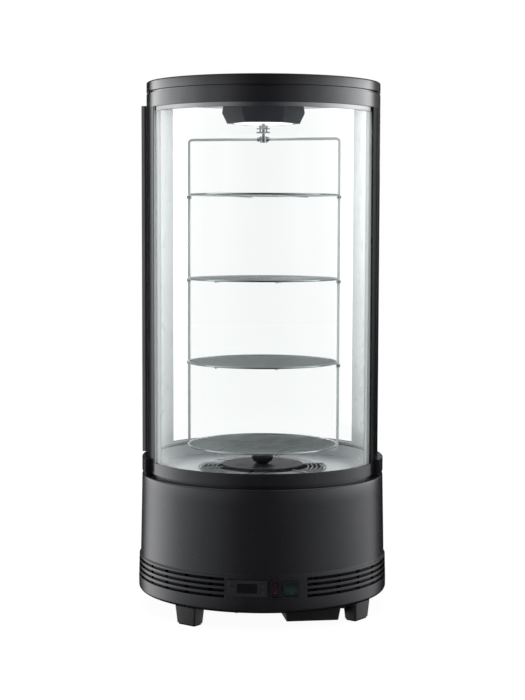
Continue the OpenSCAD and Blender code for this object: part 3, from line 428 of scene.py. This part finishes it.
def clear_glass(name, z_rim=None):
    """Thin clear glass: straight through, with a mirror share of MIRROR_LEAST + MIRROR_GAIN (1 - cos)^5.

    Above z_rim it carries a dark glossy band, with a mirror share of RIM_MIRROR.
    """
    mat = bpy.data.materials.new(name)
    tree = cleared(mat)
    through = tree.nodes.new("ShaderNodeBsdfTransparent")
    through.inputs["Color"].default_value = GLASS_TINT
    mirror = tree.nodes.new("ShaderNodeBsdfAnisotropic")
    mirror.inputs["Color"].default_value = WHITE
    waver = noise(tree, coordinates(tree), WAVER_SCALE)
    feed(tree, mirror.inputs["Roughness"], spread(tree, waver, *GLASS_ROUGH))
    slant = tree.nodes.new("ShaderNodeLayerWeight")
    slant.inputs["Blend"].default_value = 0.5
    power = maths(tree, "POWER", slant.outputs["Facing"], 5.0)
    share = maths(tree, "MULTIPLY_ADD", power, MIRROR_GAIN, MIRROR_LEAST)
    result = blended(tree, share, through.outputs[0], mirror.outputs[0])
    if z_rim:
        ink = tree.nodes.new("ShaderNodeBsdfDiffuse")
        ink.inputs["Color"].default_value = RIM_INK
        rim = blended(tree, RIM_MIRROR, ink.outputs[0], mirror.outputs[0])
        result = blended(tree, step(tree, axes(tree)[Z], z_rim, RIM_SOFT), result, rim)
    out = tree.nodes.new("ShaderNodeOutputMaterial")
    feed(tree, out.inputs[0], result)
    return mat


# The black of the case, and what its mouldings and its trims share.
BLACK = (0.0072, 0.0072, 0.0092)
SHEEN = (0.94, 0.96, 1.0)
MOULDED = {"depth": 0.006, "strength": 0.12, "rough_vary": 0.02, "tint": SHEEN, "edge": 0.6}
TRIM = {"depth": 0.005, "strength": 0.1, "rough_vary": 0.02, "tint": SHEEN}

# The vents' floors are painted shade: a near black without gloss, standing in for the shadow in the slots.
VENT_FLOOR_SHADE = patch((0.002, 0.002, 0.002), 0.05, VENT_SHADE_R, VENT_ROWS_Z)
RING_LINING = patch((0.5, 0.53, 0.54), 0.6, RING_LINING_R, RING_LINING_Z)
TRIM_FACES = patch((0.6, 0.64, 0.64), 0.5, TRIM_FACE_R, axis_x=TRIM_FACE_AXIS_X)
LID_FACE = patch((0.014, 0.014, 0.016), 0.0, LID_FACE_R, LID_FACE_Z)
# Painted shade: the grip is darker near the tower, where the gap beside it lies in shadow.
GRIP_ROOT_SHADE = patch((0.012, 0.012, 0.013), 0.3, GRIP_SHADE_R)

FINISHES = {
    "galvanised_steel": finish("zinc sheet", (0.36, 0.37, 0.38), 0.42, metal=1.0, vary=0.25, grain=160.0),
    "housing_black": finish("semi-gloss black moulding", BLACK, 0.26, inner=VENT_FLOOR_SHADE, **MOULDED),
    "trim_black": finish("semi-gloss black trim", BLACK, 0.19, edge=0.5, **TRIM),
    "foot_black": finish("matt black moulding", (0.009, 0.009, 0.0105), 0.42, shine=0.4, depth=0.01),
    "pad_rubber": finish("pad rubber", (0.01, 0.01, 0.01), 0.8, shine=0.3, grain=500.0),
    "screw_steel": finish("plated screw steel", (0.6, 0.6, 0.62), 0.3, metal=1.0),
    "tray_black": finish("black tray moulding", (0.009, 0.009, 0.01), 0.45, shine=0.4, depth=0.01),
    "compressor_black": finish("black enamel", (0.012, 0.012, 0.013), 0.2, coat=0.5),
    "fin_aluminium": finish("bare fin aluminium", (0.75, 0.76, 0.78), 0.35, metal=1.0),
    "shroud_black": finish("shroud moulding", (0.03, 0.03, 0.033), 0.5),
    "motor_steel": finish("motor shell steel", (0.5, 0.51, 0.53), 0.32, metal=1.0, stretch=(1, 1, 12)),
    "fan_black": finish("fan moulding", (0.02, 0.02, 0.022), 0.4),
    "tub_white": finish("tub moulding", (0.75, 0.75, 0.72), 0.45, vary=0.04),
    "floor_steel": finish("satin steel floor", (0.86, 0.89, 0.9), 0.36, metal=1.0, vary=0.04, grain=12.0,
                          depth=0.2, strength=0.2, rough_vary=0.02),
    "bright_wire": finish("bright plated wire", (0.5, 0.53, 0.54), 0.17, metal=1.0, vary=0.1, grain=400.0),
    "disc_black": finish("painted disc", (0.02, 0.022, 0.025), 0.42, shine=0.3),
    "thermostat_black": finish("fine-grained thermostat case", (0.012, 0.012, 0.015), 0.42, grain=1500.0,
                               depth=0.01),
    "window_smoked": finish("smoked window", (0.004, 0.004, 0.004), 0.08, strength=0.05),
    "key_grey": finish("thermostat key", (0.014, 0.014, 0.016), 0.4),
    "switch_black": finish("switch moulding", BLACK, 0.3, depth=0.006),
    "rocker_red": finish("red rocker", (0.012, 0.0022, 0.0045), 0.25, shine=0.4, strength=0.1),
    "rocker_green": finish("green rocker", (0.0012, 0.0105, 0.0095), 0.25, shine=0.4, strength=0.1),
    "clear_glass": clear_glass("clear curved glass"),
    "liner_white": finish("pale liner", (0.57, 0.61, 0.61), 0.3, vary=0.02, strength=0.1),
    "ceiling_white": finish("white enamel ceiling", (0.75, 0.77, 0.77), 0.35, vary=0.03, strength=0.1),
    "motor_cover_grey": finish("motor cover", (0.031, 0.034, 0.046), 0.33),
    "diffuser_white": finish("opal diffuser", (0.85, 0.85, 0.82), 0.45, vary=0.02, strength=0.1, glow=0.9),
    "gasket_grey": finish("soft seal", (0.3, 0.3, 0.29), 0.6, vary=0.08),
    "grip_grey": finish("grip moulding", (0.13, 0.13, 0.133), 0.38, shine=0.4, inner=GRIP_ROOT_SHADE),
    "drive_steel": finish("plated drive steel", (0.45, 0.46, 0.47), 0.28, metal=1.0),
    "knob_black": finish("moulded knob", (0.012, 0.013, 0.015), 0.35, shine=0.45),
}
LINED_RING = finish("semi-gloss black ring with a bright lining", BLACK, 0.26, inner=RING_LINING, **MOULDED)
LINED_TRIM = finish("semi-gloss black trim with a pale inner face", BLACK, 0.19, shine=0.15,
                    inner=TRIM_FACES, **TRIM)
MATT_TOPPED = finish("semi-gloss black lid with a matt top", BLACK, 0.19, edge=0.5, inner=LID_FACE, **TRIM)
RIMMED_GLASS = clear_glass("front glass with a dark upper rim", Z_GLASS_RIM)
PALE_PRINT = finish("pale moulded mark", (0.022, 0.022, 0.02), 0.4, strength=0.1)
SATIN_ROD = finish("satin bright rod", (0.64, 0.67, 0.67), 0.45, metal=0.25, vary=0.05, grain=400.0)

# Nodes whose look differs from their slot's finish, and nodes with shallower edges to keep crisp.
OWN_LOOK = {
    "rack_side_rods": SATIN_ROD,
    "rack_top_bar": SATIN_ROD,
    "rack_bottom_bar": SATIN_ROD,
    "base_ring": LINED_RING,
    "glass_trims": LINED_TRIM,
    "front_glass": RIMMED_GLASS,
}
CRISP = ("base_housing", "base_ring")
CRISP_ANGLE = 20.0
SMOOTH_ANGLE = 32.0
WELD_GAP_M = 2e-6


def dress(piece, slot, body, look=None):
    """Gives a piece the finish of one of the record's material slots, and the body that it rides on."""
    piece.data.materials.append(look or FINISHES[slot])
    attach(piece, body)
    return piece


def smooth_curves(piece, angle=SMOOTH_ANGLE):
    """Shades curved faces smooth and keeps edges sharper than an angle crisp."""
    piece.data.polygons.foreach_set("use_smooth", np.ones(len(piece.data.polygons), bool))
    weld = piece.modifiers.new("joined points", "WELD")
    weld.merge_threshold = WELD_GAP_M
    split = piece.modifiers.new("crisp edges", "EDGE_SPLIT")
    split.split_angle = math.radians(angle)


def lid_profile():
    """The lid's section: a foot set back over the groove, a straight side, a soft edge and a flat top.

    It stops AXIS_R short of the axis, so that no face folds into a point.
    """
    foot = TOWER_R - LID_GROOVE
    z_side = Z_BAND + LID_GAP
    z_under = Z_TOP - LID_WALL
    return np.vstack([
        [[foot, Z_BAND], [foot, z_side], [TOWER_R - LID_CHAMFER, z_side], [TOWER_R, z_side + LID_CHAMFER]],
        arc(TOWER_R - LID_ROUND, Z_TOP - LID_ROUND, LID_ROUND, 0, 90, 16),
        [[AXIS_R, Z_TOP], [AXIS_R, z_under], [foot - LID_WALL, z_under], [foot - LID_WALL, Z_BAND]],
    ])


def knob_profile():
    """The knob's section: a round belly and a fuller top, round the pivot pin's bore."""
    height, width = np.transpose(KNOB_SHAPE)
    t = np.linspace(0, 1, KNOB_POINTS)
    smooth = np.interp(t, height, width)
    for _ in range(KNOB_SMOOTHINGS):
        smooth[1:-1] = (smooth[:-2] + 2 * smooth[1:-1] + smooth[2:]) / 4
    side = np.stack([KNOB_R * smooth, Z_KNOB + (Z_KNOB_TOP - Z_KNOB) * t], -1)
    bore = PIN_R + PIN_PLAY
    return np.vstack([[[bore, Z_KNOB]], side, [[bore, Z_KNOB_TOP]]])


def thermostat_ridges():
    """Two upright ridges beside the display, as points from the middle of the thermostat's face."""
    end = THERMO_H / 2 - RIDGE_INSET
    return join([bead(short_line(x, -end, x, end), RIDGE_SIZE) for x in RIDGE_X])


def thermostat_lamps():
    """Four small lamps over the display, as points from the middle of the thermostat's face."""
    z = THERMO_H / 2 - LAMP_DROP
    return join([bead(short_line(x - LAMP_HALF_L, z, x + LAMP_HALF_L, z), LAMP_SIZE) for x in LAMP_X])


def thermostat_piece(name, shape, look):
    """Ridges or lamps, placed on the thermostat."""
    points, faces = shape
    x, out, z = points.T
    verts = on_front(THERMO_BEARING, THERMO_R, x, out, (Z_THERMO_LOW + Z_THERMO_TOP) / 2 + z)
    return dress(put_mesh(name, verts, faces), "key_grey", "case", look)


def rocker_marks(name, switch, body):
    """A line on a rocker's upper face and a ring on its lower one, for on and off."""
    h = switch["frame"][1] - 2 * (SWITCH_RIM + KEY_GAP) - ROCKER_TAPER
    a = np.linspace(0, TAU, MARK_RING_POINTS, endpoint=False)
    line = short_line(0, h / 4 - MARK_HALF_L, 0, h / 4 + MARK_HALF_L)
    ring = np.stack([MARK_RING_R * np.cos(a), MARK_RING_R * np.sin(a) - h / 4], -1)
    points, faces = join([bead(line, MARK_SIZE), bead(ring, MARK_SIZE, closed=True)])
    x, out, z = points.T
    face = ROCKER_DEEP + ROCKER_NOTCH + ROCKER_RISE * 2 * np.abs(z) / h
    tilt = math.radians(ROCKER_TILT)
    ahead = (face + out) * math.cos(tilt) + z * math.sin(tilt)
    up = (face + out) * -math.sin(tilt) + z * math.cos(tilt)
    verts = on_front(switch["bearing"], SWITCH_R, x, ahead - ROCKER_DEEP, switch["z"] + up)
    return dress(put_mesh(name, verts, faces), "key_grey", body, PALE_PRINT)


for node_name, node in NODES.items():
    node.data.materials.clear()
    node.data.materials.append(OWN_LOOK.get(node_name, FINISHES[SLOT_OF[node_name]]))
    smooth_curves(node, CRISP_ANGLE if node_name in CRISP else SMOOTH_ANGLE)

lid = dress(lathe("lid_shell", lid_profile()), "trim_black", "case", MATT_TOPPED)
knob = dress(lathe("turned_knob", knob_profile(), KNOB_STEPS), "knob_black", "turntable")
thermostat_piece("thermostat_ridges", thermostat_ridges(), FINISHES["key_grey"])
thermostat_piece("thermostat_lamps", thermostat_lamps(), PALE_PRINT)
rocker_marks("lamp_rocker_marks", LAMP_SWITCH, "lamp_rocker")
rocker_marks("power_rocker_marks", POWER_SWITCH, "power_rocker")
smooth_curves(lid)
smooth_curves(knob)
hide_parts("cap_lid")
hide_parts("pivot_knob")

# The floor that the case stands on: its rings' radii in metres, its place, and its tone to each kind of ray.
STAGE_RINGS_M = (0.02, 0.3, 0.6, 1.0, 2.0, 4.0, 8.0)
STAGE_SIDES = 64
STAGE_Z = -0.05
STAGE_TONE = (0.85, 0.85, 0.85, 1)
STAGE_GLOW = 1.06
STAGE_GLOW_SHARE = 0.9


def stage_floor():
    """A wide pale floor at table height: a disc of rings, glowing to the camera and matt to other rays."""
    rings = np.array(STAGE_RINGS_M)[:, None] / MM
    a = np.linspace(0, TAU, STAGE_SIDES, endpoint=False)
    verts = np.stack([rings * np.cos(a), rings * np.sin(a), STAGE_Z + 0 * rings * a], -1)
    faces = grid_faces(len(rings), STAGE_SIDES, wrap_cols=True, flip=True)
    floor = put_mesh("floor", verts, faces, smooth=False)
    mat = bpy.data.materials.new("pale floor")
    tree = cleared(mat)
    matt = tree.nodes.new("ShaderNodeBsdfDiffuse")
    matt.inputs["Color"].default_value = STAGE_TONE
    glow = tree.nodes.new("ShaderNodeEmission")
    glow.inputs["Color"].default_value = WHITE
    glow.inputs["Strength"].default_value = STAGE_GLOW
    path = tree.nodes.new("ShaderNodeLightPath")
    share = maths(tree, "MULTIPLY", path.outputs["Is Camera Ray"], STAGE_GLOW_SHARE)
    out = tree.nodes.new("ShaderNodeOutputMaterial")
    feed(tree, out.inputs[0], blended(tree, share, matt.outputs[0], glow.outputs[0]))
    floor.data.materials.append(mat)
    floor.visible_glossy = False


# How bright the studio looks to glossy surfaces, by bearing from the front, above and below the horizon.
TENT_HIGH = ((-180, 0), (-150, 0), (-145, 0.25), (-139, 3.1), (-131, 4.7), (-122, 4.9), (-104, 4.7),
             (-89, 4.4), (-64, 2.5), (-32, 0.98), (0, 0.1), (38, 1.05), (61, 2.7), (84, 5.2), (98, 6.6),
             (114, 6.8), (125, 5.9), (130, 3.8), (136, 0.9), (141, 0.4), (158, 0.1), (180, 0))
TENT_LOW = ((-180, 0), (-158, 0), (-152, 0.03), (-145, 0.42), (-132, 1.95), (-114, 2.5), (-98, 2.05),
            (-85, 1.3), (-61, 0.72), (-40, 0.37), (-21, 0.09), (0, 0.06), (21, 0.09), (47, 0.35), (74, 0.66),
            (93, 0.96), (108, 1.15), (125, 1.05), (134, 0.4), (142, 0.04), (152, 0), (180, 0))
TENT_TOP = 8.0

# Where the tent changes, by the sine of the ray's rise: at the horizon, to the ceiling and to the floor.
TENT_HORIZON = (-0.11, 0.09)
TENT_CEILING = (0.1, 0.165)
TENT_CEILING_SHARE = 0.25
TENT_FLOOR = (-0.5, -0.3)

# The white behind the case, by how far back the ray points, the light on matt surfaces, and the white that
# the camera sees.
BACK_WHITE = 0.9
BACK_FADE = (0.1, 0.6)
AMBIENT = 0.6
CAMERA_WHITE = 1.0


def tent_wall(tree, turn, stops):
    """A wall's brightness as a share of TENT_TOP, by the share of a turn."""
    ramp = tree.nodes.new("ShaderNodeValToRGB")
    ramp.color_ramp.interpolation = "CARDINAL"
    points = ramp.color_ramp.elements
    while len(points) < len(stops):
        points.new(0.5)
    for point, (bearing, level) in zip(points, stops):
        point.position = bearing / 360 + 0.5
        point.color = (*[level / TENT_TOP] * 3, 1)
    feed(tree, ramp.inputs["Fac"], turn)
    return ramp.outputs["Color"]


def backdrop(tree, strength):
    """White light of a strength, which may differ by direction."""
    node = tree.nodes.new("ShaderNodeBackground")
    node.inputs["Color"].default_value = WHITE
    feed(tree, node.inputs["Strength"], strength)
    return node.outputs[0]


def studio_world():
    """A studio that differs by the kind of ray.

    It is white to the camera, also through glass, and an even grey to diffuse light. To glossy surfaces it
    is a tent with two soft bright walls at the sides, dark behind the case, and white there through glass.
    """
    world = bpy.data.worlds.new("studio")
    bpy.context.scene.world = world
    tree = cleared(world)
    world.cycles.sampling_method = "NONE"
    side, ahead, up = axes(tree, "Generated")
    bearing = maths(tree, "ARCTAN2", side, maths(tree, "MULTIPLY", ahead, -1))
    turn = maths(tree, "ADD", maths(tree, "DIVIDE", bearing, TAU), 0.5)
    rise = spread(tree, up, 0, 1, *TENT_HORIZON)
    low = maths(tree, "MULTIPLY", tent_wall(tree, turn, TENT_LOW), maths(tree, "SUBTRACT", 1, rise))
    high = maths(tree, "MULTIPLY", tent_wall(tree, turn, TENT_HIGH), rise)
    ceiling = spread(tree, up, 1, TENT_CEILING_SHARE, *TENT_CEILING)
    ends = maths(tree, "MULTIPLY", ceiling, spread(tree, up, 0, 1, *TENT_FLOOR))
    level = maths(tree, "MULTIPLY", maths(tree, "ADD", low, high), ends)
    path = tree.nodes.new("ShaderNodeLightPath")
    passed_glass = maths(tree, "GREATER_THAN", path.outputs["Transparent Depth"], 0.5)
    behind = maths(tree, "MULTIPLY", passed_glass, spread(tree, ahead, 0, BACK_WHITE, *BACK_FADE))
    tent = maths(tree, "ADD", maths(tree, "MULTIPLY", level, TENT_TOP), behind)
    seen = maths(tree, "MAXIMUM", path.outputs["Is Camera Ray"], path.outputs["Is Transmission Ray"])
    lit = blended(tree, path.outputs["Is Glossy Ray"], backdrop(tree, AMBIENT), backdrop(tree, tent))
    out = tree.nodes.new("ShaderNodeOutputWorld")
    feed(tree, out.inputs[0], blended(tree, seen, lit, backdrop(tree, CAMERA_WHITE)))


# Each lamp's name, bearing, distance, height and size in metres, and power in watts.
LAMPS = (
    ("front left box", -38, 2.6, 1.5, (1.2, 1.6), 15),
    ("front right box", 38, 2.6, 1.5, (1.2, 1.6), 13),
    ("rear box", 180, 2.4, 1.6, (1.6, 1.6), 10),
    ("top box", 0, 0.5, 2.6, (1.6, 1.4), 9),
)
AIM_Z_M = 0.5


def soft_lamp(name, bearing, distance_m, height_m, size_m, power_w):
    """A rectangular lamp at a bearing, facing the object's axis at AIM_Z_M."""
    lamp = bpy.data.lights.new(name, "AREA")
    lamp.shape = "RECTANGLE"
    lamp.size, lamp.size_y = size_m
    lamp.energy = power_w
    holder = put_object(name, lamp)
    a = math.radians(bearing)
    place = np.array([distance_m * math.sin(a), -distance_m * math.cos(a), height_m])
    ahead = np.array([0.0, 0.0, AIM_Z_M]) - place
    flat = math.hypot(ahead[0], ahead[1])
    holder.location = place
    holder.rotation_euler = (math.atan2(flat, -ahead[2]), 0.0, math.atan2(-ahead[0], ahead[1]))
    holder.visible_camera = False
    holder.visible_glossy = False


def photo_camera():
    """The camera fitted to the photograph: straight in front, pitched down, with a slight roll."""
    cam = bpy.data.cameras.new("camera")
    cam.sensor_width = SENSOR_MM
    cam.lens = FOCAL_PX / IMAGE_H_PX * SENSOR_MM
    holder = put_object("camera", cam)
    holder.location = (0, CAMERA_Y * MM, CAMERA_Z * MM)
    holder.rotation_mode = "XYZ"
    turn = Matrix.Rotation(CAMERA_YAW, 3, "Z") @ Matrix.Rotation(math.pi / 2 - CAMERA_PITCH, 3, "X")
    holder.rotation_euler = (turn @ Matrix.Rotation(CAMERA_ROLL, 3, "Z")).to_euler()
    bpy.context.scene.camera = holder


stage_floor()
studio_world()
photo_camera()
for lamp in LAMPS:
    soft_lamp(*lamp)

bpy.context.scene.view_settings.view_transform = "Standard"
